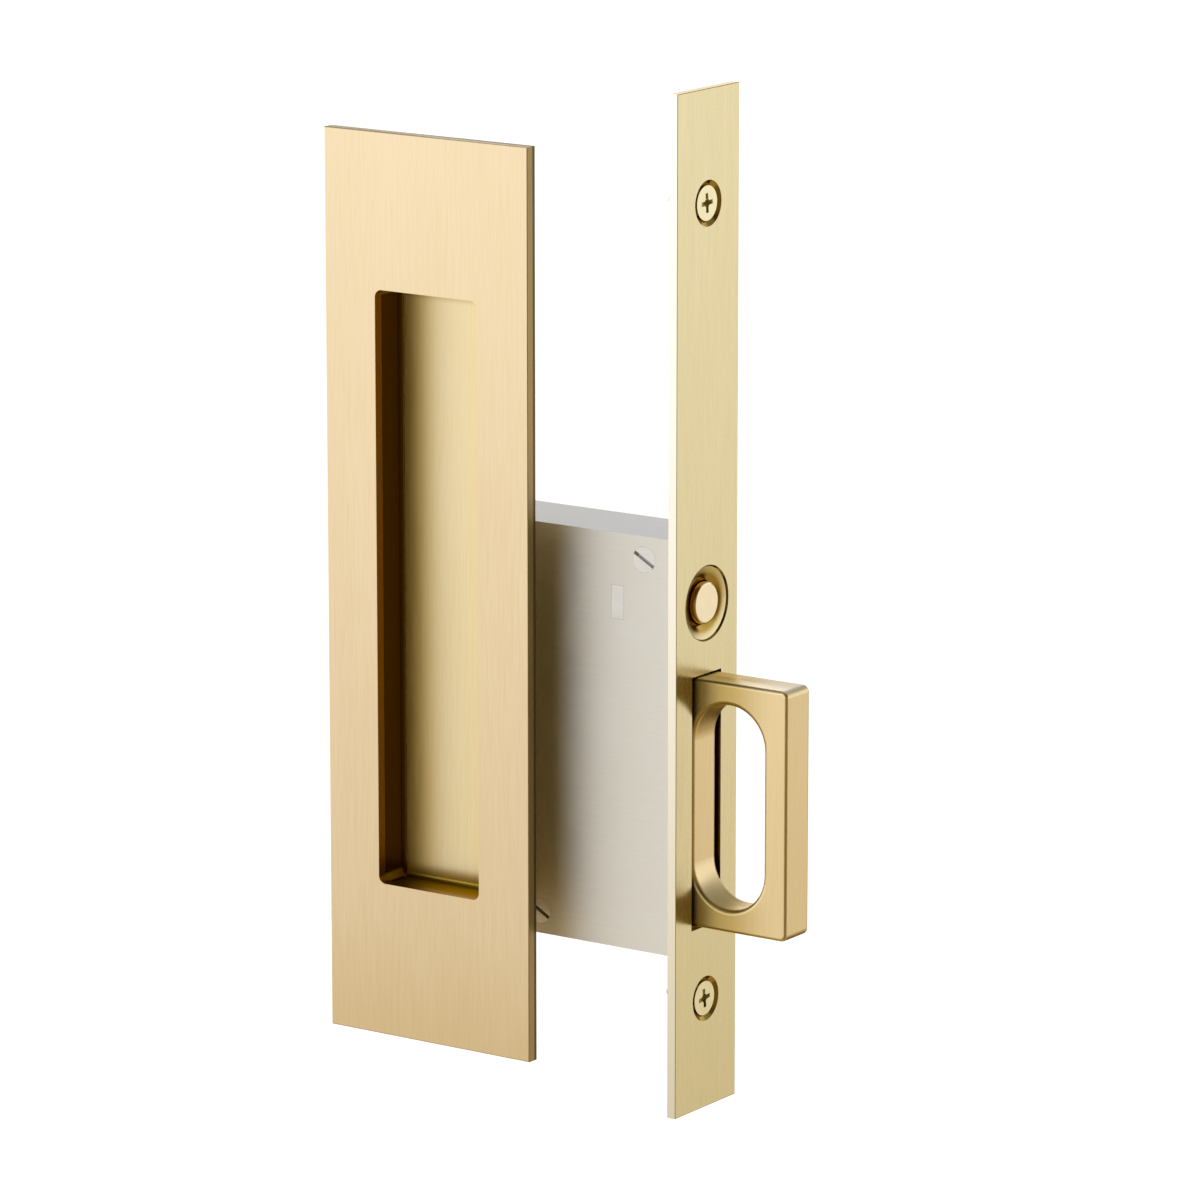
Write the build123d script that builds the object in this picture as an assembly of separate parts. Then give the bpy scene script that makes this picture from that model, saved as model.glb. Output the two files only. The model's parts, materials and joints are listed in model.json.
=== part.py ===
from build123d import *
import os

# Frame: origin at the centre of the faceplate's back face. +X points out of the door's edge,
# the way the pull comes out, -Y to the side that carries the flush pull, +Z up. Millimetres.

# Faceplate on the door's edge.
PLATE_W = 22.2
PLATE_H = 211.8
PLATE_T = 2.0
PLATE_EDGE_R = 0.15
SCREW_Z = 82.7
SINK_R = 4.75
SINK_SEAT_R = 3.65
SINK_SEAT = 0.7
SCREW_HOLE_R = 2.35

# Wood screws in the faceplate.
SCREW_HEAD_R = 3.6
SCREW_SUNK = 0.3
SCREW_RIM = 0.35
SCREW_CONE = 1.3
SCREW_R = 2.1
SCREW_LEN = 9.1
SCREW_TIP = 3.0
CROSS_W = 0.9
CROSS_L = 4.0
CROSS_DEPTH = 1.3
CROSS_HUB_R = 0.9
CROSS_LEAN_TOP = 4.0
CROSS_LEAN_LOW = 8.0

# Release button in its dish.
BUTTON_Z = 0.6
DISH_R = 7.9
DISH_LIP = 0.4
DISH_LIP_RUN = 0.35
DISH_SLOPE = 6.0
DISH_DEPTH = 1.35
BUTTON_R = 4.4
BUTTON_GAP = 0.25
BUTTON_EDGE = 0.5
BUTTON_OUT = 0.8
FLANGE_R = 6.2
FLANGE_T = 1.8
STOP_GAP = 0.25
ROD_R = 2.5
ROD_IN_BUTTON = 3.2
RUN_GAP = 0.05

# Edge pull and the slot that it comes out of.
PULL_Z = -40.4
PULL_OUT = 22.3
PULL_H = 52.2
PULL_T = 8.6
PULL_WALL_OUT = 5.6
PULL_WALL_END = 4.7
PULL_EDGE_R = 0.7
PULL_CORNER_R = 1.4
HOLE_EDGE_R = 1.0
HOLE_INSET = 0.4
SLOT_Z = -40.65
SLOT_H = 53.3
SLOT_W = 10.6
SHOULDER_OVER = 1.8
SHOULDER_BACK = 5.0
SHOULDER_GAP = 0.3

# Steel fork behind the pull.
SLIDE_T = 2.5
SLIDE_H = 46.0
SLIDE_BACK = 46.0
SLIDE_IN_PULL = 3.5
SLIDE_GAP = 0.05
SLIDE_CORNER_R = 2.0
RIVET_R = 1.25
RIVET_DZ = 18.4
RIVET_FROM_BACK = 1.8
GUIDE_DZ = 14.2
GUIDE_X = -40.0
GUIDE_R = 2.0
GUIDE_GAP = 0.1
GUIDE_OVER = 0.5
WINDOW_H = 11.0
WINDOW_FRONT = -12.0
SPIGOT_L = 4.0
SPIGOT_H = 3.4

# Case: folded tray and flat cover.
CASE_T = 19.0
CASE_SHEET = 1.5
CASE_DEEP = 70.0
CASE_TOP = 15.0
CASE_BOTTOM = -72.0
CASE_CORNER_R = 3.0
CASE_FOLD_R = 2.0
LUG_H = 7.2
LUG_W = 14.0
LUG_SCREW_IN = 3.7
LUG_SCREW_R = 1.5
LUG_HEAD_R = 2.75
LUG_HEAD_T = 1.8
LUG_DRIVE_R = 1.1
LUG_DRIVE_DEPTH = 1.1
LUG_THREAD_IN = 1.3
PIN_FIT = 0.03
PILLAR_R = 3.0
PILLAR_TAP_R = 1.5
PILLAR_TAP_L = 7.0
COVER_HEAD_R = 2.7
COVER_SLOT_W = 0.8
COVER_SLOT_DEPTH = 0.7
COVER_SCREW_L = 6.0
PILLARS = ((-7.0, 10.2), (-63.0, 8.0), (-63.0, -67.2), (-33.0, -67.2))

# Pull spring on its rod.
SPRING_R = 3.4
SPRING_WIRE_R = 0.45
SPRING_TURNS = 13
SPRING_SEAT = 0.1
SPRING_ROD_R = 2.2
SPRING_ROD_L = 28.5

# Button spring and rod guide.
BSPRING_R = 3.6
BSPRING_WIRE_R = 0.3
BSPRING_TURNS = 5
ROD_GUIDE_X = -15.0
ROD_GUIDE_T = 3.0
ROD_GUIDE_LOW = -5.5
TENON_H = 7.0

# Catch lever, its pivot and its link with the rod.
PIVOT_X = -35.8
PIVOT_ARM = 8.5
PIVOT_R = 2.0
LEVER_T = 2.0
LEVER_BOSS_R = 4.0
LEVER_TIP_R = 2.6
LEVER_FREE = 0.35
NOSE_BACK = -21.7
NOSE_FRONT = -18.6
NOSE_UP = 1.7
ARM_TOP = -6.6
FORK_W = 2.6
FORK_L = 11.0
FORK_BEHIND = 4.5
LINK_PIN_R = 1.0
LINK_SLOT_W = 2.4
LINK_SLOT_H = 3.4

# Flush pull.
FLUSH_W = 50.8
FLUSH_H = 190.5
FLUSH_T = 2.7
FLUSH_X = -53.7
FLUSH_Z = -1.4
FLUSH_EDGE_R = 0.2
CUP_W = 25.6
CUP_H = 125.4
CUP_CORNER_R = 1.6
CUP_DEPTH = 9.4
CUP_WALL = 1.2
CUP_INNER_R = 0.8
CUP_SEAT = 0.5
CUP_FIT = 0.05
CUP_STEP = 0.3
POST_DZ = 80.0
POST_R = 4.0
POST_L = 12.0
POST_SEAT = 1.0
POST_TAP_R = 2.0
POST_TAP_L = 9.0

# Values that follow from the ones above.
case_half = CASE_T / 2
inner_half = case_half - CASE_SHEET
case_rear = -CASE_DEEP + CASE_SHEET
flush_front = -(case_half + CUP_WALL + CUP_DEPTH)
flush_back = flush_front + FLUSH_T
cup_back = flush_front + CUP_DEPTH + CUP_WALL
slot_low = SLOT_Z - SLOT_H / 2
slot_top = SLOT_Z + SLOT_H / 2
shoulder_top = slot_top + SHOULDER_OVER
pull_tip = PLATE_T + PULL_OUT
flange_front = -(BUTTON_OUT + STOP_GAP)
flange_back = flange_front - FLANGE_T
pivot_z = BUTTON_Z - PIVOT_ARM
nose_low = shoulder_top + LEVER_FREE
rod_end = PIVOT_X - FORK_BEHIND
fork_front = rod_end + FORK_L
rivet_x = -SHOULDER_BACK + RIVET_FROM_BACK
rivet_dz = (RIVET_DZ, -RIVET_DZ)
guide_dz = (GUIDE_DZ, -GUIDE_DZ)
post_dz = (POST_DZ, -POST_DZ)
cone_lean = SCREW_CONE / (SCREW_HEAD_R - SCREW_R)
lug_z = (CASE_TOP + LUG_SCREW_IN, CASE_BOTTOM - LUG_SCREW_IN)

os.makedirs("parts", exist_ok=True)


def save(shape, node):
    export_step(shape, f"parts/{node}.step")


def box(x0, x1, y0, y1, z0, z1):
    """Block between two corners."""
    size = Box(x1 - x0, y1 - y0, z1 - z0)
    return Pos((x0 + x1) / 2, (y0 + y1) / 2, (z0 + z1) / 2) * size


def rod_x(r, x0, x1, y=0.0, z=0.0):
    """Round bar along X."""
    return Pos((x0 + x1) / 2, y, z) * Rot(0, 90, 0) * Cylinder(r, x1 - x0)


def rod_y(r, y0, y1, x=0.0, z=0.0):
    """Round bar along Y."""
    return Pos(x, (y0 + y1) / 2, z) * Rot(90, 0, 0) * Cylinder(r, y1 - y0)


def cone_x(r0, r1, x0, x1, z=0.0):
    """Cone along X with radius r0 at x0 and r1 at x1."""
    return Pos((x0 + x1) / 2, 0, z) * Rot(0, 90, 0) * Cone(r0, r1, x1 - x0)


def cone_y(r0, r1, y0, y1, x=0.0, z=0.0):
    """Cone along Y with radius r0 at y0 and r1 at y1."""
    return Pos(x, (y0 + y1) / 2, z) * Rot(-90, 0, 0) * Cone(r0, r1, y1 - y0)


def side_plate(sketch, y0, y1):
    """Outline drawn in X and Z, made solid from y0 to y1."""
    return extrude(Plane.XZ * sketch, amount=-(y1 - y0)).moved(Location((0, y0, 0)))


def coil_x(r, wire_r, turns, x0, x1, z):
    """Coil spring along X whose outside runs from x0 to x1."""
    length = x1 - x0 - 2 * wire_r
    path = Helix(pitch=length / turns, height=length, radius=r)
    wire = Plane(origin=path @ 0, z_dir=path % 0) * Circle(wire_r)
    coil = sweep(wire, path=path, is_frenet=True)
    return Pos(x0 + wire_r, 0, z) * Rot(0, 90, 0) * coil


def make_faceplate():
    plate = box(0, PLATE_T, -PLATE_W / 2, PLATE_W / 2, -PLATE_H / 2, PLATE_H / 2)
    plate = fillet(plate.faces().sort_by(Axis.X)[-1].edges(), PLATE_EDGE_R)
    plate -= box(-1, PLATE_T + 1, -SLOT_W / 2, SLOT_W / 2, slot_low, slot_top)
    plate -= dish_form()
    plate -= rod_x(BUTTON_R + BUTTON_GAP, -1, PLATE_T + 1, z=BUTTON_Z)
    for z in (SCREW_Z, -SCREW_Z):
        seat = PLATE_T - SINK_SEAT
        seat_end = seat - (SINK_SEAT_R - SCREW_HOLE_R) * cone_lean
        plate -= cone_x(SINK_SEAT_R, SINK_R, seat, PLATE_T, z)
        plate -= cone_x(SCREW_HOLE_R, SINK_SEAT_R, seat_end, seat, z)
        plate -= rod_x(SCREW_HOLE_R, -1, seat, z=z)
    for z in lug_z:
        plate -= rod_x(LUG_SCREW_R + PIN_FIT, -1, LUG_THREAD_IN + 0.2, z=z)
    return plate


def dish_form():
    """What the dish takes out of the plate: a steep lip, then a slope that steepens to the button."""
    hole_r = BUTTON_R + BUTTON_GAP
    floor = PLATE_T - DISH_DEPTH
    lip_foot = Vector(PLATE_T - DISH_LIP, DISH_R - DISH_LIP_RUN)
    inward = Vector(-1, 0).rotate(Axis.Z, 90 - DISH_SLOPE)
    slope = TangentArc(lip_foot, (floor, hole_r), tangent=inward)
    rest = Polyline(
        (floor, hole_r),
        (floor, 0),
        (PLATE_T + 1, 0),
        (PLATE_T + 1, DISH_R),
        (PLATE_T, DISH_R),
        lip_foot,
    )
    half_section = make_face([slope, *rest.edges()])
    return Pos(0, 0, BUTTON_Z) * revolve(half_section, Axis.X)


def wood_screw(z, lean):
    head_face = PLATE_T - SCREW_SUNK
    cone_top = head_face - SCREW_RIM
    cone_end = cone_top - SCREW_CONE
    tip = head_face - SCREW_LEN
    screw = rod_x(SCREW_HEAD_R, cone_top, head_face, z=z)
    screw += cone_x(SCREW_R, SCREW_HEAD_R, cone_end, cone_top, z)
    screw += rod_x(SCREW_R, tip + SCREW_TIP, cone_end, z=z)
    screw += cone_x(0.2, SCREW_R, tip, tip + SCREW_TIP, z)
    screw -= cone_x(0.3, CROSS_HUB_R, head_face - CROSS_DEPTH, head_face, z)
    for turn in (lean, lean + 90):
        arm = Box(CROSS_DEPTH, CROSS_W, CROSS_L)
        screw -= Pos(head_face - CROSS_DEPTH / 2, 0, z) * Rot(turn, 0, 0) * arm
    return screw


def make_pull():
    low, high = PULL_Z - PULL_H / 2, PULL_Z + PULL_H / 2
    half = PULL_T / 2
    back = -SHOULDER_BACK
    loop = box(back, pull_tip, -half, half, low, high)
    tip_corners = loop.faces().sort_by(Axis.X)[-1].edges().filter_by(Axis.Y)
    loop = fillet(tip_corners, PULL_CORNER_R)
    hole_w = PULL_OUT - PULL_WALL_OUT + HOLE_INSET
    hole_h = PULL_H - 2 * PULL_WALL_END
    hole_x = pull_tip - PULL_WALL_OUT - hole_w / 2
    outline = Pos(hole_x, PULL_Z) * SlotOverall(hole_h, hole_w, rotation=90)
    loop -= side_plate(outline, -half - 1, half + 1)
    soft = [e for e in loop.edges() if e.bounding_box().min.X > back + 0.1]
    sides = [e for e in soft if abs(abs(e.center().Y) - half) < 1e-3]
    inner = [e for e in sides if e.center().X < pull_tip - 1 and low + 1 < e.center().Z < high - 1]
    loop = fillet(inner, HOLE_EDGE_R)
    for side in (-half, half):
        rim = [
            e
            for e in loop.edges()
            if abs(e.center().Y - side) < 1e-3
            and (
                e.center().X > pull_tip - 1.5
                or abs(e.center().Z - low) < 1e-3
                or abs(e.center().Z - high) < 1e-3
            )
        ]
        loop = fillet(rim, PULL_EDGE_R)
    loop += box(back, -SHOULDER_GAP, -half, half, slot_low - SHOULDER_OVER, shoulder_top)
    groove_h = SLIDE_H + 2 * SLIDE_GAP
    groove_front = back + SLIDE_IN_PULL + SLIDE_GAP
    groove_half = SLIDE_T / 2 + SLIDE_GAP
    loop -= box(
        back - 1,
        groove_front,
        -groove_half,
        groove_half,
        PULL_Z - groove_h / 2,
        PULL_Z + groove_h / 2,
    )
    for dz in rivet_dz:
        loop -= rod_y(RIVET_R + PIN_FIT, -half - 1, half + 1, rivet_x, PULL_Z + dz)
    return loop


def make_slide():
    front = -SHOULDER_BACK + SLIDE_IN_PULL
    length = SLIDE_BACK + front
    plate = Pos(front - length / 2, PULL_Z) * RectangleRounded(length, SLIDE_H, SLIDE_CORNER_R)
    window_l = SLIDE_BACK + WINDOW_FRONT
    plate -= Pos(WINDOW_FRONT - window_l / 2 - 1, PULL_Z) * Rectangle(window_l + 2, WINDOW_H)
    plate += Pos(WINDOW_FRONT - SPIGOT_L / 2 + 0.5, PULL_Z) * Rectangle(SPIGOT_L + 1, SPIGOT_H)
    slot_r = GUIDE_R + GUIDE_GAP
    slot_l = PULL_OUT + 2 * GUIDE_OVER + 2 * slot_r
    slot_x = GUIDE_X + PULL_OUT / 2
    for dz in guide_dz:
        plate -= Pos(slot_x, PULL_Z + dz) * SlotOverall(slot_l, 2 * slot_r)
    for dz in rivet_dz:
        plate -= Pos(rivet_x, PULL_Z + dz) * Circle(RIVET_R + PIN_FIT)
    return side_plate(plate, -SLIDE_T / 2, SLIDE_T / 2)


def make_case_body():
    tray = box(-CASE_DEEP, 0, -inner_half, case_half, CASE_BOTTOM, CASE_TOP)
    rear = tray.faces().sort_by(Axis.X)[0].edges().filter_by(Axis.Y)
    tray = fillet(rear, CASE_CORNER_R)
    side = [e for e in tray.faces().sort_by(Axis.Y)[-1].edges() if e.center().X < -0.1]
    tray = fillet(side, CASE_FOLD_R)
    low, high = CASE_BOTTOM + CASE_SHEET, CASE_TOP - CASE_SHEET
    hollow = box(case_rear, 1, -inner_half - 1, inner_half, low, high)
    inner = hollow.faces().sort_by(Axis.X)[0].edges().filter_by(Axis.Y)
    tray -= fillet(inner, CASE_CORNER_R - CASE_SHEET)
    tray += box(-CASE_SHEET, 0, -LUG_W / 2, LUG_W / 2, high, CASE_TOP + LUG_H)
    tray += box(-CASE_SHEET, 0, -LUG_W / 2, LUG_W / 2, CASE_BOTTOM - LUG_H, low)
    for z in lug_z:
        tray -= rod_x(LUG_SCREW_R + PIN_FIT, -CASE_SHEET - 1, 1, z=z)
    tray -= rod_x(SPRING_ROD_R + PIN_FIT, -CASE_DEEP - 1, case_rear + 1, z=PULL_Z)
    return tray - case_side_holes(inner_half - 0.5, case_half + 1)


def case_side_holes(y0, y1):
    """Holes in either side of the case for the pins' ends and the rod guide's tenons."""
    holes = rod_y(PIVOT_R + PIN_FIT, y0, y1, PIVOT_X, pivot_z)
    for dz in guide_dz:
        holes += rod_y(GUIDE_R + PIN_FIT, y0, y1, GUIDE_X, PULL_Z + dz)
    holes += box(
        ROD_GUIDE_X - PIN_FIT,
        ROD_GUIDE_X + ROD_GUIDE_T + PIN_FIT,
        y0,
        y1,
        BUTTON_Z - TENON_H / 2 - PIN_FIT,
        BUTTON_Z + TENON_H / 2 + PIN_FIT,
    )
    return holes


def make_case_cover():
    cover = box(-CASE_DEEP, 0, -case_half, -inner_half, CASE_BOTTOM, CASE_TOP)
    rear = cover.faces().sort_by(Axis.X)[0].edges().filter_by(Axis.Y)
    cover = fillet(rear, CASE_CORNER_R)
    cover -= case_side_holes(-case_half - 1, -inner_half + 0.5)
    for x, z in PILLARS:
        sink_r = COVER_HEAD_R + PIN_FIT
        hole_r = PILLAR_TAP_R + PIN_FIT
        sink_end = -case_half + sink_r - hole_r
        cover -= cone_y(sink_r, hole_r, -case_half, sink_end, x, z)
        cover -= rod_y(hole_r, -case_half, -inner_half + 1, x, z)
    return cover


def make_pillar(x, z):
    post = rod_y(PILLAR_R, -inner_half, inner_half, x, z)
    return post - rod_y(PILLAR_TAP_R + PIN_FIT, -inner_half - 1, -inner_half + PILLAR_TAP_L, x, z)


def cover_screw(x, z):
    cone_end = -case_half + COVER_HEAD_R - PILLAR_TAP_R
    screw = cone_y(COVER_HEAD_R, PILLAR_TAP_R, -case_half, cone_end, x, z)
    screw += rod_y(PILLAR_TAP_R, cone_end, -case_half + COVER_SCREW_L, x, z)
    slot = Box(2 * COVER_HEAD_R + 1, 2 * COVER_SLOT_DEPTH, COVER_SLOT_W)
    return screw - Pos(x, -case_half, z) * Rot(0, 30, 0) * slot


def lug_screw(z):
    screw = rod_x(LUG_HEAD_R, -CASE_SHEET - LUG_HEAD_T, -CASE_SHEET, z=z)
    screw = fillet(screw.edges().sort_by(Axis.X)[0], 0.5)
    screw += rod_x(LUG_SCREW_R, -CASE_SHEET, LUG_THREAD_IN, z=z)
    head_face = -CASE_SHEET - LUG_HEAD_T
    socket = RegularPolygon(LUG_DRIVE_R, 6)
    recess = extrude(Plane(origin=(head_face, 0, z), z_dir=(1, 0, 0)) * socket, LUG_DRIVE_DEPTH)
    return screw - recess


def make_button():
    button = rod_x(BUTTON_R, flange_front - 0.5, PLATE_T, z=BUTTON_Z)
    button = fillet(button.edges().sort_by(Axis.X)[-1], BUTTON_EDGE)
    button += rod_x(FLANGE_R, flange_back, flange_front, z=BUTTON_Z)
    return button - rod_x(ROD_R, flange_back - 1, flange_back + ROD_IN_BUTTON, z=BUTTON_Z)


def make_push_rod():
    rod = rod_x(ROD_R, rod_end, flange_back + ROD_IN_BUTTON, z=BUTTON_Z)
    rod -= box(
        rod_end - 1,
        fork_front,
        -FORK_W / 2,
        FORK_W / 2,
        BUTTON_Z - ROD_R - 1,
        BUTTON_Z + ROD_R + 1,
    )
    return rod - rod_y(LINK_PIN_R + PIN_FIT, -ROD_R - 1, ROD_R + 1, PIVOT_X, BUTTON_Z)


def make_rod_guide():
    high = CASE_TOP - CASE_SHEET
    x1 = ROD_GUIDE_X + ROD_GUIDE_T
    plate = box(ROD_GUIDE_X, x1, -inner_half, inner_half, ROD_GUIDE_LOW, high)
    plate += box(
        ROD_GUIDE_X,
        x1,
        -case_half,
        case_half,
        BUTTON_Z - TENON_H / 2,
        BUTTON_Z + TENON_H / 2,
    )
    return plate - rod_x(ROD_R + RUN_GAP, ROD_GUIDE_X - 1, x1 + 1, z=BUTTON_Z)


def make_lever():
    outline = Pos(PIVOT_X, pivot_z) * Circle(LEVER_BOSS_R)
    outline += Pos(PIVOT_X, BUTTON_Z) * Circle(LEVER_TIP_R)
    outline += Pos(PIVOT_X, (BUTTON_Z + pivot_z) / 2) * Rectangle(2 * LEVER_TIP_R, PIVOT_ARM)
    arm_low = nose_low + NOSE_UP
    outline += make_face(
        Polyline(
            (PIVOT_X, arm_low),
            (NOSE_BACK, arm_low),
            (NOSE_BACK, nose_low),
            (NOSE_FRONT - 1.0, nose_low),
            (NOSE_FRONT, nose_low + 1.0),
            (NOSE_FRONT, ARM_TOP - 0.8),
            (NOSE_FRONT - 0.8, ARM_TOP),
            (PIVOT_X, ARM_TOP),
            close=True,
        )
    )
    outline -= Pos(PIVOT_X, pivot_z) * Circle(PIVOT_R + RUN_GAP)
    outline -= Pos(PIVOT_X, BUTTON_Z) * SlotOverall(LINK_SLOT_H, LINK_SLOT_W, rotation=90)
    return side_plate(outline, -LEVER_T / 2, LEVER_T / 2)


def make_flush_plate():
    plate = Pos(FLUSH_X, (flush_front + flush_back) / 2, FLUSH_Z) * Box(FLUSH_W, FLUSH_T, FLUSH_H)
    plate = fillet(plate.faces().sort_by(Axis.Y)[0].edges(), FLUSH_EDGE_R)
    mouth = Pos(FLUSH_X, FLUSH_Z) * RectangleRounded(CUP_W, CUP_H, CUP_CORNER_R)
    plate -= side_plate(mouth, flush_front - 1, flush_back + 1)
    plate -= cup_block(CUP_STEP + CUP_WALL + CUP_FIT, flush_back - CUP_SEAT, flush_back + 1)
    seat = flush_back - POST_SEAT
    for dz in post_dz:
        plate -= rod_y(POST_R + CUP_FIT, seat, flush_back + 1, FLUSH_X, FLUSH_Z + dz)
    return plate


def cup_block(grow, y0, y1):
    """Upright block with the cup's outline, larger than the plate's opening by grow all round."""
    outline = RectangleRounded(CUP_W + 2 * grow, CUP_H + 2 * grow, CUP_CORNER_R + grow)
    return side_plate(Pos(FLUSH_X, FLUSH_Z) * outline, y0, y1)


def cup_form(grow, y0, y1, edge_r):
    """The cup's block with the edges of its back rounded."""
    half_w, half_h = CUP_W / 2 + grow, CUP_H / 2 + grow
    across = box(FLUSH_X - half_w, FLUSH_X + half_w, y0, y1, FLUSH_Z - 100, FLUSH_Z + 100)
    across = fillet(across.faces().sort_by(Axis.Y)[-1].edges().filter_by(Axis.Z), edge_r)
    along = box(FLUSH_X - 50, FLUSH_X + 50, y0, y1, FLUSH_Z - half_h, FLUSH_Z + half_h)
    along = fillet(along.faces().sort_by(Axis.Y)[-1].edges().filter_by(Axis.X), edge_r)
    return cup_block(grow, y0, y1) & across & along


def make_flush_cup():
    front = flush_back - CUP_SEAT
    cup = cup_form(CUP_STEP + CUP_WALL, front, cup_back, CUP_INNER_R + CUP_WALL)
    return cup - cup_form(CUP_STEP, front - 1, cup_back - CUP_WALL, CUP_INNER_R)


def flush_post(dz):
    top = flush_back - POST_SEAT + POST_L
    post = rod_y(POST_R, flush_back - POST_SEAT, top, FLUSH_X, FLUSH_Z + dz)
    post = chamfer(post.edges().sort_by(Axis.Y)[-1], 0.5)
    return post - rod_y(POST_TAP_R, top - POST_TAP_L, top + 1, FLUSH_X, FLUSH_Z + dz)


save(make_faceplate(), "faceplate")
screws = [wood_screw(SCREW_Z, CROSS_LEAN_TOP), wood_screw(-SCREW_Z, CROSS_LEAN_LOW)]
save(Compound(children=screws), "faceplate_screws")
save(make_pull(), "edge_pull")
save(make_slide(), "pull_slide")
rivets = [rod_y(RIVET_R, -PULL_T / 2, PULL_T / 2, rivet_x, PULL_Z + dz) for dz in rivet_dz]
save(Compound(children=rivets), "pull_rivets")
pins = [rod_y(GUIDE_R, -case_half, case_half, GUIDE_X, PULL_Z + dz) for dz in guide_dz]
save(Compound(children=pins), "guide_pins")
coil_end = WINDOW_FRONT - SPRING_SEAT
coil = coil_x(SPRING_R, SPRING_WIRE_R, SPRING_TURNS, case_rear + SPRING_SEAT, coil_end, PULL_Z)
save(coil, "pull_spring")
save(rod_x(SPRING_ROD_R, -CASE_DEEP, case_rear + SPRING_ROD_L, z=PULL_Z), "spring_rod")
save(make_case_body(), "case_body")
save(make_case_cover(), "case_cover")
save(Compound(children=[make_pillar(x, z) for x, z in PILLARS]), "case_pillars")
save(Compound(children=[cover_screw(x, z) for x, z in PILLARS]), "cover_screws")
save(Compound(children=[lug_screw(z) for z in lug_z]), "lug_screws")
save(make_button(), "release_button")
save(make_push_rod(), "push_rod")
save(make_rod_guide(), "rod_guide")
guide_front = ROD_GUIDE_X + ROD_GUIDE_T
bcoil_0, bcoil_1 = guide_front + SPRING_SEAT, flange_back - SPRING_SEAT
save(coil_x(BSPRING_R, BSPRING_WIRE_R, BSPRING_TURNS, bcoil_0, bcoil_1, BUTTON_Z), "button_spring")
save(rod_y(LINK_PIN_R, -ROD_R + 0.3, ROD_R - 0.3, PIVOT_X, BUTTON_Z), "rod_pin")
save(make_lever(), "catch_lever")
save(rod_y(PIVOT_R, -case_half, case_half, PIVOT_X, pivot_z), "catch_pivot")
save(make_flush_plate(), "flush_plate")
save(make_flush_cup(), "flush_cup")
save(Compound(children=[flush_post(dz) for dz in post_dz]), "flush_posts")
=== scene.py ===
import json
import math

import bmesh
import bpy
from mathutils import Matrix, Vector


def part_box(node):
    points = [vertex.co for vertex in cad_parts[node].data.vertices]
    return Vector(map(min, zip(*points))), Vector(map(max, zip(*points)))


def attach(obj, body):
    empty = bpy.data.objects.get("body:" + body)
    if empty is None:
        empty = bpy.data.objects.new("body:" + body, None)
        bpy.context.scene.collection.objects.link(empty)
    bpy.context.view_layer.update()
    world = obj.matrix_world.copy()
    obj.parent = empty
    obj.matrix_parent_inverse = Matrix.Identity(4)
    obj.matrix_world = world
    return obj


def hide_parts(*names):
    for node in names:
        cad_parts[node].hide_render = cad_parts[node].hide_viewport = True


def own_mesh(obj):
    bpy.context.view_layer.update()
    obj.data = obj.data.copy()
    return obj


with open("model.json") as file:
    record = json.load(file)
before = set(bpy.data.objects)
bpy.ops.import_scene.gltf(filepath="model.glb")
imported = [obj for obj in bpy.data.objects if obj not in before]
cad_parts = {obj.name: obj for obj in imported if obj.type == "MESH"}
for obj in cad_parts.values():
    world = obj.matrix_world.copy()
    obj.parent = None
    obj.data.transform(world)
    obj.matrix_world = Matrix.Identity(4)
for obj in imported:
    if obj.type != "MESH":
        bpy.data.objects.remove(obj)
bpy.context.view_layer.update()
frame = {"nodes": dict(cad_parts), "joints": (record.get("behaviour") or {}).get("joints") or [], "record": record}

MM = 0.001

# Camera of the product view, in the row frame.
EYE = Vector((0.73936, -1.10470, 0.29552))
LOOK_AT = Vector((-0.02527, 0.00124, -0.00242))
LENS_MM = 200.96
SENSOR_MM = 36.0

# Studio: a wide pale floor well below the lock, and a soft white surround.
FLOOR_Z = -0.30
FLOOR_SIZE = 14.0
FLOOR_GLOW = 0.8

# Mouth of the flush pull's cup: half its width and half its height.
MOUTH_HALF_W = 12.8 * MM
MOUTH_HALF_H = 62.7 * MM

# Coil springs, as sizes of wire and coil.
PULL_COIL_R = 3.4 * MM
PULL_WIRE_R = 0.45 * MM
PULL_TURNS = 15
BUTTON_COIL_R = 3.6 * MM
BUTTON_WIRE_R = 0.3 * MM
BUTTON_TURNS = 6

# Threads of the edge screws.
SHANK_TOP = 0.15 * MM
SHANK_R = 2.1 * MM
THREAD_CORE_R = 1.5 * MM
THREAD_MEAN_R = 1.6 * MM
THREAD_PITCH = 1.5 * MM
THREAD_TIP = 3.0 * MM
THREAD_LEAD = 0.3 * MM
THREAD_SHORT = 0.5 * MM

# Threads of the tapped posts.
TAP_R = 2.0 * MM
TAP_PITCH = 0.7 * MM
TAP_RIDGE = 0.28 * MM
TAP_LENGTH = 8.0 * MM

# Tint of the brass where it is seen at a flat angle.
PALE = (1.0, 0.95, 0.86, 1.0)
AMBER = (1.0, 0.76, 0.32, 1.0)


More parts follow.
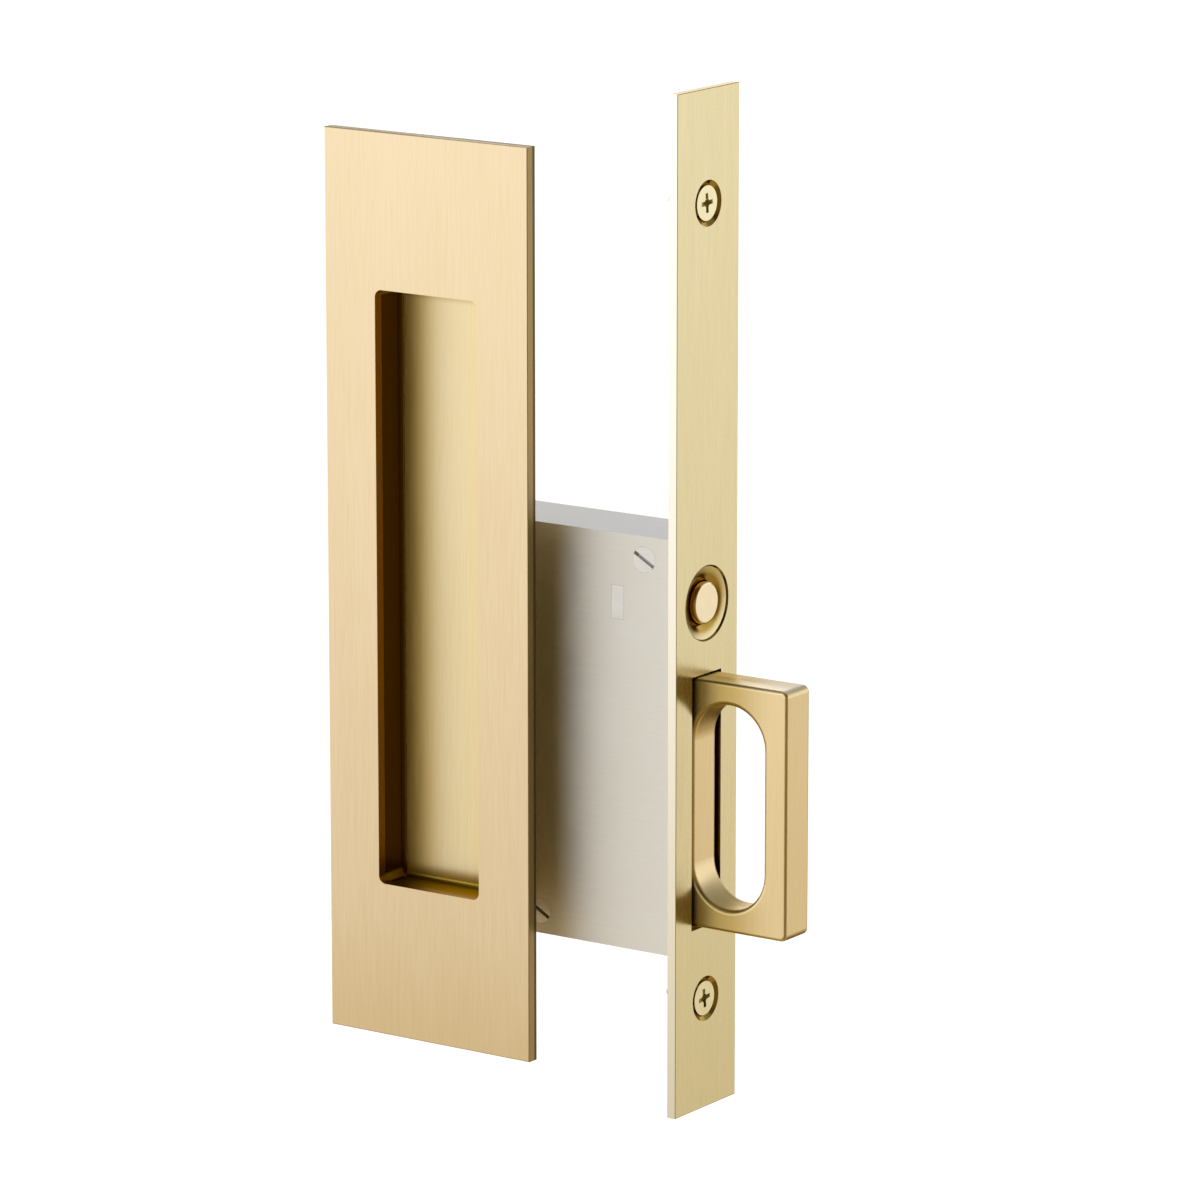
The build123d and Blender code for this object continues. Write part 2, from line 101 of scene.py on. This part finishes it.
class Level:
    """A number that varies over a surface. Arithmetic on it adds Math nodes to its tree."""

    def __init__(self, tree, socket):
        self.tree = tree
        self.socket = socket

    def calc(self, operation, *values):
        made = self.tree.node("ShaderNodeMath", {"operation": operation}, dict(enumerate(values)))
        return Level(self.tree, made.outputs[0])

    def __add__(self, other):
        return self.calc("ADD", self, other)

    __radd__ = __add__

    def __sub__(self, other):
        return self.calc("SUBTRACT", self, other)

    def __rsub__(self, other):
        return self.calc("SUBTRACT", other, self)

    def __mul__(self, other):
        return self.calc("MULTIPLY", self, other)

    def __truediv__(self, other):
        return self.calc("DIVIDE", self, other)

    def __rtruediv__(self, other):
        return self.calc("DIVIDE", other, self)

    def __pow__(self, other):
        return self.calc("POWER", self, other)

    def __abs__(self):
        return self.calc("ABSOLUTE", self)

    def or_more(self, other):
        """The larger of the two numbers."""
        return self.calc("MAXIMUM", self, other)

    def step(self, low, high, to_low=0.0, to_high=1.0, curve="SMOOTHSTEP"):
        """Eases from to_low to to_high while the number goes from low to high."""
        sockets = {0: self, 1: low, 2: high, 3: to_low, 4: to_high}
        made = self.tree.node("ShaderNodeMapRange", {"interpolation_type": curve}, sockets)
        return Level(self.tree, made.outputs[0])


class Tree:
    """A node tree under construction: a finish, the studio's surround or a Geometry Nodes piece."""

    def __init__(self, node_tree):
        self.tree = node_tree
        self.tree.nodes.clear()

    def node(self, kind, settings=None, sockets=None):
        """Adds a node: its settings first, then the values or links of its sockets."""
        made = self.tree.nodes.new(kind)
        for name, value in (settings or {}).items():
            setattr(made, name, value)
        for key, value in (sockets or {}).items():
            if isinstance(value, Level):
                value = value.socket
            if isinstance(value, bpy.types.NodeSocket):
                self.tree.links.new(value, made.inputs[key])
            else:
                made.inputs[key].default_value = value
        return made

    def level(self, *node_words):
        """A node's first output as a number to calculate with."""
        return Level(self, self.node(*node_words).outputs[0])

    def parts_of(self, vector):
        """The three numbers of a vector."""
        made = self.node("ShaderNodeSeparateXYZ", None, {0: vector})
        return [Level(self, socket) for socket in made.outputs]

    def blend(self, amount, first, second):
        """Mixes two colours."""
        settings = {"data_type": "RGBA", "blend_type": "MIX"}
        return self.node("ShaderNodeMix", settings, {0: amount, 6: first, 7: second}).outputs[2]


class Finish(Tree):
    """A finish on Object coordinates, in metres."""

    def __init__(self, name):
        self.material = bpy.data.materials.new(name)
        self.material.use_nodes = True
        super().__init__(self.material.node_tree)
        self.coordinates = self.node("ShaderNodeTexCoord")
        self.place = self.coordinates.outputs["Object"]

    def facing(self):
        """How squarely the surface faces along X, Y and Z, each from 0 to 1."""
        return [abs(part) for part in self.parts_of(self.coordinates.outputs["Normal"])]

    def grain(self, size, detail=2.0):
        """Noise from 0 to 1 whose patches are about size long on each axis."""
        scale = [1.0 / length for length in size]
        mapped = self.node("ShaderNodeMapping", None, {0: self.place, 3: scale})
        sockets = {"Vector": mapped.outputs[0], "Scale": 1.0, "Detail": detail, "Roughness": 0.55}
        return self.level("ShaderNodeTexNoise", None, sockets)

    def metal(self, colour, roughness, height, lift, **constants):
        """Closes the finish with a metal shader and a bump of that lift."""
        bump = self.node("ShaderNodeBump", None, {"Height": height, "Strength": 1.0, "Distance": lift})
        sockets = {
            "Base Color": colour,
            "Roughness": roughness,
            "Metallic": 1.0,
            "Normal": bump.outputs[0],
        }
        sockets.update({name.replace("_", " "): value for name, value in constants.items()})
        shader = self.node("ShaderNodeBsdfPrincipled", None, sockets)
        self.node("ShaderNodeOutputMaterial", None, {0: shader.outputs[0]})
        return self.material


def tone(red, green, blue):
    """An opaque colour from its linear parts."""
    return (red, green, blue, 1.0)


def middle_of(node):
    """Middle of a CAD node's box."""
    low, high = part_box(node)
    return (low + high) / 2


def brushed_brass(
    name, light, deep, roughness, spread, contrast=0.2, lift=0.006 * MM, edges=None, grazing=PALE
):
    """Brass brushed up and down: fine upright lines, broader streaks and a little cloudiness."""
    brass = Finish(name)
    lines = brass.grain((0.2 * MM, 0.2 * MM, 7 * MM))
    streaks = brass.grain((0.8 * MM, 0.8 * MM, 15 * MM))
    clouds = brass.grain((14 * MM, 14 * MM, 40 * MM))
    worn = (lines * 0.45 + streaks * 0.35 + clouds * 0.2).step(0.5 - contrast, 0.5 + contrast)
    colour = brass.blend(worn, deep, light)
    rough = roughness + (streaks - 0.5) * 0.10 + (lines - 0.5) * 0.08
    if edges is not None:
        colour, rough = edges(brass, colour, rough)
    return brass.metal(colour, rough, lines, lift, Anisotropic=spread, Specular_Tint=grazing)


def away_from_middle(brass, node):
    """How far a point lies from the middle of a node, across and up."""
    middle = middle_of(node)
    x, _, z = brass.parts_of(brass.place)
    return abs(x - middle.x), abs(z - middle.z)


def flush_edges(brass, colour, rough):
    """Flush plate: painted shade turning the front a deeper golden tone low down; cut sides of darker brass with
    painted shade, amber round the mouth, browner outside, and a painted dark shadow strip along the back.
    """
    low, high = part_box("flush_plate")
    _, y, z = brass.parts_of(brass.place)
    # Painted shade: the front's lower end is blended towards a deeper golden tone.
    painted_end_shade = z.step(low.z, low.z + 30 * MM, 0.35, 0.0)
    colour = brass.blend(painted_end_shade, colour, tone(0.74, 0.58, 0.29))
    across, up = away_from_middle(brass, "flush_plate")
    far_across = across.step(MOUTH_HALF_W + 4 * MM, MOUTH_HALF_W + 7 * MM)
    far_up = up.step(MOUTH_HALF_H + 9 * MM, MOUTH_HALF_H + 13 * MM)
    # Painted shadow: a dark strip along the back of the cut sides.
    painted_rear_shadow = y.step(high.y - 1.1 * MM, high.y - 0.6 * MM)
    outer_tone_and_shade = brass.blend(painted_rear_shadow, tone(0.42, 0.32, 0.16), tone(0.15, 0.11, 0.055))
    # Cut sides: darker cut-edge brass that is partly painted shade, amber round the mouth and browner outside.
    cut = brass.blend(far_across.or_more(far_up), tone(0.45, 0.24, 0.02), outer_tone_and_shade)
    return brass.blend(brass.facing()[1].step(0.35, 0.8, 1.0, 0.0), colour, cut), rough


def cup_walls(brass, colour, rough):
    """Inside of the cup: smoother walls in painted dark amber shade, a painted golden reflection on the floor
    towards the walls facing across, and painted shade at the floor's upper and lower ends.
    """
    across, up = away_from_middle(brass, "flush_cup")
    x, y, _ = brass.parts_of(brass.place)
    middle = middle_of("flush_cup")
    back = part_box("flush_cup")[1].y
    front = y.step(back - 0.7 * MM, back - 0.5 * MM, 1.0, 0.0)
    within_w = across.step(MOUTH_HALF_W + 0.6 * MM, MOUTH_HALF_W + 1.0 * MM, 1.0, 0.0)
    within_h = up.step(MOUTH_HALF_H + 0.6 * MM, MOUTH_HALF_H + 1.0 * MM, 1.0, 0.0)
    inside = front * within_w * within_h
    # Painted reflection: the floor turns a deeper golden tone towards the walls facing across, more strongly
    # towards -X.
    reflection_weight = x.step(middle.x - 0.3 * MM, middle.x + 5.7 * MM, 0.75, 0.3)
    painted_corner_reflection = across.step(2 * MM, MOUTH_HALF_W - 1.8 * MM) * reflection_weight * inside
    colour = brass.blend(painted_corner_reflection, colour, tone(1.0, 0.69, 0.15))
    # Painted shade: the floor darkens to olive brown at its upper and lower ends.
    painted_end_shade = up.step(MOUTH_HALF_H - 3.4 * MM, MOUTH_HALF_H - 0.4 * MM) * inside
    colour = brass.blend(painted_end_shade * 0.85, colour, tone(0.40, 0.25, 0.03))
    facing = brass.facing()
    # Painted shade: the walls facing across are painted near-black amber.
    painted_side_shading = facing[0].step(0.02, 0.2) * inside
    colour = brass.blend(painted_side_shading, colour, tone(0.14, 0.08, 0.008))
    # Painted shade: the upper and lower end walls are painted dark brown.
    end = facing[2].step(0.02, 0.2) * inside
    colour = brass.blend(end, colour, tone(0.44, 0.31, 0.035))
    return colour, rough - painted_side_shading * 0.18


def faceplate_edges(brass, colour, rough):
    """Faceplate off its flat front: painted shade deepens the dish, sinks and slot; the cut sides carry a painted
    pale highlight.
    """
    # Painted shade in the dish, sinks and slot.
    sunk_painted_shade = brass.facing()[0].step(0.94, 0.998, 1.0, 0.0)
    colour = brass.blend(sunk_painted_shade, colour, tone(0.38, 0.25, 0.05))
    half_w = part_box("faceplate")[1].y
    # Painted light: the long cut sides are painted pale.
    painted_side_shading = abs(brass.parts_of(brass.place)[1]).step(half_w - 0.15 * MM, half_w - 0.02 * MM)
    return brass.blend(painted_side_shading, colour, tone(0.92, 0.88, 0.78)), rough - sunk_painted_shade * 0.14


def pull_arms(brass, colour, rough):
    """Arms of the finger pull: painted shade deepening their golden tone closer to the faceplate, and a painted
    pale highlight on upward faces.
    """
    x, _, z = brass.parts_of(brass.place)
    arms = abs(z - middle_of("edge_pull").z).step(15 * MM, 22 * MM)
    painted_near_shade = x.step(9 * MM, 22 * MM, 1.0, 0.0)
    # Painted shade: the arms deepen in tone closer to the faceplate.
    colour = brass.blend(arms * painted_near_shade * 0.8, colour, tone(0.58, 0.42, 0.12))
    # Painted highlight: upward faces away from the faceplate are painted pale.
    painted_top_highlight = brass.facing()[2].step(0.6, 0.95) * x.step(8 * MM, 20 * MM)
    return brass.blend(painted_top_highlight * 0.7, colour, tone(0.97, 0.90, 0.76)), rough


def button_side(brass, colour, rough):
    """The button's flank: a painted deep amber reflection where it dips into the dish."""
    # Painted reflection: the button's flank is painted deep amber.
    painted_side_shading = brass.facing()[0].step(0.2, 0.75, 1.0, 0.0)
    return brass.blend(painted_side_shading, colour, tone(0.82, 0.50, 0.07)), rough


def polished_brass(name, light, deep, roughness, edges=None):
    """Turned and polished brass with a few fine rubbed marks."""
    brass = Finish(name)
    rubbed = brass.grain((0.35 * MM, 0.35 * MM, 0.35 * MM), detail=3.0)
    clouds = brass.grain((3 * MM, 3 * MM, 3 * MM))
    colour = brass.blend((rubbed * 0.4 + clouds * 0.6).step(0.32, 0.68), deep, light)
    rough = roughness + (clouds - 0.5) * 0.12 + (rubbed - 0.5) * 0.08
    if edges is not None:
        colour, rough = edges(brass, colour, rough)
    return brass.metal(colour, rough, rubbed, 0.002 * MM, Specular_Tint=PALE)


def zinc_plate(name, light, deep, roughness):
    """Bright zinc plate on steel: soft clouds over the rolled sheet's faint lines."""
    zinc = Finish(name)
    rolled = zinc.grain((9 * MM, 0.3 * MM, 0.3 * MM))
    clouds = zinc.grain((7 * MM, 7 * MM, 7 * MM), detail=4.0)
    colour = zinc.blend((rolled * 0.35 + clouds * 0.65).step(0.3, 0.7), deep, light)
    rough = roughness + (clouds - 0.5) * 0.16 + (rolled - 0.5) * 0.08
    return zinc.metal(colour, rough, rolled, 0.004 * MM)


def plain_steel(name, light, deep, roughness):
    """Oiled steel of the works, with upright grinding marks and darker patches."""
    steel = Finish(name)
    ground = steel.grain((0.2 * MM, 0.2 * MM, 4 * MM))
    oil = steel.grain((5 * MM, 5 * MM, 5 * MM), detail=3.0)
    colour = steel.blend((ground * 0.4 + oil * 0.6).step(0.3, 0.7), deep, light)
    rough = roughness + (oil - 0.5) * 0.2 + (ground - 0.5) * 0.1
    return steel.metal(colour, rough, ground, 0.004 * MM)


FINISHES = {
    "flush_brass": brushed_brass(
        "flush_brushed_brass",
        tone(0.90, 0.745, 0.525),
        tone(0.825, 0.665, 0.43),
        roughness=0.34,
        spread=0.55,
        contrast=0.18,
        edges=flush_edges,
    ),
    # The cup's brass is brighter than the plate's, partly as painted light that lifts the recess.
    "cup_brass": brushed_brass(
        "cup_brushed_brass",
        tone(1.0, 0.875, 0.585),
        tone(0.935, 0.78, 0.475),
        roughness=0.39,
        spread=0.55,
        contrast=0.15,
        edges=cup_walls,
        grazing=AMBER,
    ),
    "faceplate_brass": brushed_brass(
        "faceplate_satin_brass",
        tone(0.79, 0.70, 0.44),
        tone(0.76, 0.665, 0.40),
        roughness=0.27,
        spread=0.45,
        contrast=0.3,
        lift=0.003 * MM,
        edges=faceplate_edges,
    ),
    "pull_brass": brushed_brass(
        "pull_brushed_brass",
        tone(0.95, 0.785, 0.485),
        tone(0.88, 0.705, 0.405),
        roughness=0.36,
        spread=0.5,
        edges=pull_arms,
    ),
    "button_brass": polished_brass(
        "button_polished_brass",
        tone(0.87, 0.75, 0.535),
        tone(0.815, 0.69, 0.47),
        roughness=0.2,
        edges=button_side,
    ),
    "bright_brass": polished_brass(
        "screw_polished_brass", tone(0.83, 0.765, 0.505), tone(0.755, 0.68, 0.42), roughness=0.22
    ),
    "post_brass": polished_brass(
        "post_turned_brass", tone(0.84, 0.68, 0.39), tone(0.74, 0.58, 0.31), roughness=0.3
    ),
    "case_zinc": zinc_plate(
        "case_bright_zinc", tone(0.97, 0.97, 0.96), tone(0.90, 0.905, 0.91), roughness=0.56
    ),
    "case_hardware": zinc_plate(
        "hardware_zinc", tone(0.78, 0.78, 0.77), tone(0.66, 0.665, 0.67), roughness=0.32
    ),
    "working_steel": plain_steel(
        "works_steel", tone(0.62, 0.62, 0.61), tone(0.44, 0.44, 0.44), roughness=0.35
    ),
    "spring_steel": plain_steel(
        "spring_wire_steel", tone(0.55, 0.55, 0.56), tone(0.36, 0.36, 0.38), roughness=0.3
    ),
}


def dress_cad_nodes():
    """Gives each CAD node the finish of its material slot."""
    for part in frame["record"]["subparts"]:
        node = frame["nodes"][part["node"]]
        node.data.materials.clear()
        node.data.materials.append(FINISHES[part["material_slot"]])


class Maker(Tree):
    """A Geometry Nodes tree with named inputs for its sizes."""

    def __init__(self, name, sizes):
        group = bpy.data.node_groups.new(name, "GeometryNodeTree")
        super().__init__(group)
        self.group = group
        group.interface.new_socket("Geometry", in_out="OUTPUT", socket_type="NodeSocketGeometry")
        for size in sizes:
            group.interface.new_socket(size, in_out="INPUT", socket_type="NodeSocketFloat")
        group.interface.new_socket("Finish", in_out="INPUT", socket_type="NodeSocketMaterial")
        self.given = self.node("NodeGroupInput")

    def size(self, name):
        return Level(self, self.given.outputs[name])

    def spiral(self, points_a_turn, turns, radius, height):
        """Path that winds evenly round Z."""
        sockets = {
            "Resolution": points_a_turn,
            "Rotations": turns,
            "Start Radius": radius,
            "End Radius": radius,
            "Height": height,
        }
        return self.node("GeometryNodeCurveSpiral", None, sockets).outputs[0]

    def sweep(self, path, placed, radius, sides):
        """Moves a path's points to where they are placed and sweeps a round section along it."""
        moved = self.node("GeometryNodeSetPosition", None, {"Geometry": path, "Position": placed})
        sockets = {"Resolution": sides, "Radius": radius}
        section = self.node("GeometryNodeCurvePrimitiveCircle", {"mode": "RADIUS"}, sockets)
        sockets = {"Curve": moved.outputs[0], "Profile Curve": section.outputs[0], "Fill Caps": True}
        return self.node("GeometryNodeCurveToMesh", None, sockets).outputs[0]

    def close(self, geometry):
        """Ends the tree: instances made real, shaded smooth, in the given finish."""
        real = self.node("GeometryNodeRealizeInstances", None, {0: geometry})
        smooth = self.node("GeometryNodeSetShadeSmooth", None, {0: real.outputs[0], 2: True})
        sockets = {"Geometry": smooth.outputs[0], "Material": self.given.outputs["Finish"]}
        dressed = self.node("GeometryNodeSetMaterial", None, sockets)
        self.node("NodeGroupOutput", None, {0: dressed.outputs[0]})

    def mesh(self, piece, finish, **sizes):
        """Runs the tree with these sizes and returns the result as a plain mesh."""
        holder = bpy.data.objects.new(piece, bpy.data.meshes.new(piece))
        bpy.context.scene.collection.objects.link(holder)
        modifier = holder.modifiers.new("make", "NODES")
        modifier.node_group = self.group
        values = {name.replace("_", " "): value for name, value in sizes.items()}
        values["Finish"] = finish
        for socket in self.group.interface.items_tree:
            if socket.in_out == "INPUT":
                modifier[socket.identifier] = values[socket.name]
        graph = bpy.context.evaluated_depsgraph_get()
        made = bpy.data.meshes.new_from_object(holder.evaluated_get(graph))
        made.name = piece
        holder.modifiers.remove(modifier)
        bpy.data.objects.remove(holder)
        return made


def place_mesh(piece, mesh, body, stands_for=()):
    """Shows a finished mesh as a piece that rides on a body."""
    shown = bpy.data.objects.new(piece, mesh)
    bpy.context.scene.collection.objects.link(shown)
    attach(shown, body)
    if stands_for:
        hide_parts(*stands_for)
    return shown


def coil_spring_maker():
    """Coil spring along X with its end turns closed up, from Start X over Length."""
    maker = Maker("coil spring", ("Coil R", "Wire R", "Turns", "Length", "Start X", "Axis Z"))
    turns = maker.size("Turns")
    wire_r = maker.size("Wire R")
    coil_r = maker.size("Coil R")
    path = maker.spiral(points_a_turn=40, turns=turns, radius=coil_r, height=0.0)
    along = maker.level("GeometryNodeSplineParameter")
    closed = 1.0 / turns
    opened = 1.0 - closed
    rise = wire_r * 2.0
    middle = maker.size("Length") - wire_r * 6.0
    height = wire_r + along.step(0.0, closed, 0.0, rise, "LINEAR")
    height = height + along.step(closed, opened, 0.0, middle, "LINEAR")
    height = height + along.step(opened, 1.0, 0.0, rise, "LINEAR")
    where = maker.parts_of(maker.node("GeometryNodeInputPosition").outputs[0])
    sockets = {0: height + maker.size("Start X"), 1: where[0], 2: where[1] + maker.size("Axis Z")}
    turned = maker.node("ShaderNodeCombineXYZ", None, sockets)
    maker.close(maker.sweep(path, turned.outputs[0], wire_r, sides=14))
    return maker


def make_springs():
    """Both coil springs, wound as real springs are."""
    maker = coil_spring_maker()
    joints = {joint["name"]: joint for joint in frame["joints"]}
    rows = (
        ("pull_spring", "pull_out", PULL_COIL_R, PULL_WIRE_R, PULL_TURNS),
        ("button_spring", "button_press", BUTTON_COIL_R, BUTTON_WIRE_R, BUTTON_TURNS),
    )
    for node, joint, coil_r, wire_r, turns in rows:
        low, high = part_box(node)
        length = high.x - low.x
        axis_z = middle_of(node).z
        mesh = maker.mesh(
            node + "_coil",
            FINISHES["spring_steel"],
            Coil_R=coil_r,
            Wire_R=wire_r,
            Turns=float(turns),
            Length=length,
            Start_X=low.x,
            Axis_Z=axis_z,
        )
        spring = place_mesh(node + "_coil", mesh, "lock_body", (node,))
        travel = max(abs(limit) for limit in joints[joint]["range_m"])
        (length - travel) / length
        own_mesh(spring)


def thread_maker():
    """Ridge of a screw thread along -X, repeated at two places one above the other."""
    names = ("Mean R", "Ridge", "Pitch", "Length", "Taper", "Start X", "Half Spacing")
    maker = Maker("screw thread", names)
    length = maker.size("Length")
    rotations = length / maker.size("Pitch")
    path = maker.spiral(points_a_turn=28, turns=rotations, radius=1.0, height=1.0)
    where = maker.parts_of(maker.node("GeometryNodeInputPosition").outputs[0])
    run = where[2] * length
    narrow = maker.size("Mean R") * run.step(length - maker.size("Taper"), length, 1.0, 0.12, "LINEAR")
    sockets = {0: maker.size("Start X") - run, 1: where[0] * narrow, 2: where[1] * narrow}
    turned = maker.node("ShaderNodeCombineXYZ", None, sockets)
    thread = maker.sweep(path, turned.outputs[0], maker.size("Ridge"), sides=8)
    half = maker.size("Half Spacing")
    low = maker.node("ShaderNodeCombineXYZ", None, {2: half * -1.0})
    high = maker.node("ShaderNodeCombineXYZ", None, {2: half})
    sockets = {"Count": 2, "Start Location": low.outputs[0], "Offset": high.outputs[0]}
    pair = maker.node("GeometryNodeMeshLine", {"mode": "END_POINTS"}, sockets)
    sockets = {"Points": pair.outputs[0], "Instance": thread}
    maker.close(maker.node("GeometryNodeInstanceOnPoints", None, sockets).outputs[0])
    return maker


def make_edge_screws(maker):
    """The two edge screws: the solid's heads, with a cut thread on a thinner core."""
    low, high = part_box("faceplate_screws")
    head_r = (high.y - low.y) / 2
    spacing = (high.z - low.z) / 2 - head_r
    shank = bmesh.new()
    shank.from_mesh(frame["nodes"]["faceplate_screws"].data)
    bmesh.ops.remove_doubles(shank, verts=shank.verts, dist=0.002 * MM)
    for vertex in shank.verts:
        centre_z = math.copysign(spacing, vertex.co.z)
        around = Vector((vertex.co.y, vertex.co.z - centre_z))
        if vertex.co.x < SHANK_TOP + 0.01 * MM and around.length < SHANK_R + 0.02 * MM:
            around *= THREAD_CORE_R / SHANK_R
            vertex.co.y = around.x
            vertex.co.z = around.y + centre_z
    thread = maker.mesh(
        "edge_screw_thread",
        FINISHES["bright_brass"],
        Mean_R=THREAD_MEAN_R,
        Ridge=SHANK_R - THREAD_MEAN_R,
        Pitch=THREAD_PITCH,
        Length=SHANK_TOP - low.x - THREAD_SHORT,
        Taper=THREAD_TIP,
        Start_X=SHANK_TOP - THREAD_LEAD,
        Half_Spacing=spacing,
    )
    shank.from_mesh(thread)
    mesh = bpy.data.meshes.new("edge_screws")
    shank.to_mesh(mesh)
    shank.free()
    mesh.materials.append(FINISHES["bright_brass"])
    place_mesh("edge_screws", mesh, "lock_body", ("faceplate_screws",))


def make_post_threads(maker):
    """Tapped thread inside the two posts on the back of the flush plate."""
    low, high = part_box("flush_posts")
    post_r = (high.x - low.x) / 2
    mesh = maker.mesh(
        "post_threads",
        FINISHES["post_brass"],
        Mean_R=TAP_R,
        Ridge=TAP_RIDGE,
        Pitch=TAP_PITCH,
        Length=TAP_LENGTH,
        Taper=0.0,
        Start_X=high.y - TAP_PITCH,
        Half_Spacing=(high.z - low.z) / 2 - post_r,
    )
    middle = middle_of("flush_posts")
    middle.y = 0.0
    mesh.transform(Matrix.Translation(middle) @ Matrix.Rotation(math.radians(90), 4, "Z"))
    place_mesh("post_threads", mesh, "lock_body")


def make_floor():
    """Pale paper floor that glows a little and stays out of the brass's reflections."""
    half = FLOOR_SIZE / 2
    ends = ((-half, -half), (half, -half), (half, half), (-half, half))
    mesh = bpy.data.meshes.new("studio_floor")
    mesh.from_pydata([(x, y, FLOOR_Z) for x, y in ends], [], [(0, 1, 2, 3)])
    floor = bpy.data.objects.new("studio_floor", mesh)
    bpy.context.scene.collection.objects.link(floor)
    floor.visible_glossy = False
    paper = Finish("floor_paper")
    pale = paper.blend(paper.grain((0.4, 0.4, 0.4)), tone(0.93, 0.93, 0.93), tone(0.96, 0.96, 0.96))
    sockets = {
        "Base Color": pale,
        "Roughness": 1.0,
        "Emission Color": pale,
        "Emission Strength": FLOOR_GLOW,
    }
    shader = paper.node("ShaderNodeBsdfPrincipled", None, sockets)
    paper.node("ShaderNodeOutputMaterial", None, {0: shader.outputs[0]})
    mesh.materials.append(paper.material)


def make_surround():
    """Soft white surround with a warm dark gap in front, another at the back, and three screens."""
    world = bpy.data.worlds.new("studio_surround")
    world.use_nodes = True
    bpy.context.scene.world = world
    surround = Tree(world.node_tree)
    x, y, z = surround.parts_of(surround.node("ShaderNodeTexCoord").outputs["Generated"])
    flat = (x * x + y * y + 1e-6) ** 0.5

    def towards(degrees):
        """Cosine of the turn between each direction and this bearing from +X."""
        angle = math.radians(degrees)
        return (x * math.cos(angle) + y * math.sin(angle)) / flat

    def height(degrees):
        return math.sin(math.radians(degrees))

    def turn(degrees):
        return math.cos(math.radians(degrees))

    front_gap = towards(-29).step(turn(64), turn(44))
    front_core = towards(-50).step(turn(38), turn(22))
    back_gap = towards(91).step(turn(29), turn(19)) * z.step(height(3), height(10), 1.0, 0.0)
    left_screen = towards(-135).step(turn(80), turn(30))
    right_screen = towards(48).step(turn(40), turn(15))
    rear_screen = towards(142).step(turn(50), turn(20))
    fall = z.step(height(-5), height(-25))
    roof = z.step(height(11), height(31), 1.0, 0.3)
    below = surround.blend(left_screen, tone(0.50, 0.42, 0.25), tone(0.30, 0.22, 0.07))
    white = surround.blend(fall, tone(1.0, 1.0, 1.0), below)
    warm = surround.blend(front_gap, white, tone(1.0, 0.77, 0.30))
    warm = surround.blend(back_gap, warm, tone(1.0, 0.62, 0.20))
    open_sky = (1.16 + left_screen * 0.23 + right_screen * 0.14 + rear_screen * 0.25) * roof
    strength = open_sky * (1.0 - front_gap * 0.74) * (1.0 - front_core * 0.45) * (1.0 - back_gap * 0.97)
    light = surround.node("ShaderNodeBackground", None, {"Color": warm, "Strength": strength})
    surround.node("ShaderNodeOutputWorld", None, {0: light.outputs[0]})


def make_camera():
    """Long lens from in front of the flush pull, a little above it and towards the door's edge."""
    lens = bpy.data.cameras.new("product_camera")
    lens.lens = LENS_MM
    lens.sensor_width = SENSOR_MM
    camera = bpy.data.objects.new("product_camera", lens)
    camera.location = EYE
    camera.rotation_euler = (LOOK_AT - EYE).to_track_quat("-Z", "Y").to_euler()
    bpy.context.scene.collection.objects.link(camera)
    bpy.context.scene.camera = camera
    bpy.context.scene.view_settings.view_transform = "Standard"


dress_cad_nodes()
make_springs()
screw_thread = thread_maker()
make_edge_screws(screw_thread)
make_post_threads(screw_thread)
make_floor()
make_surround()
make_camera()
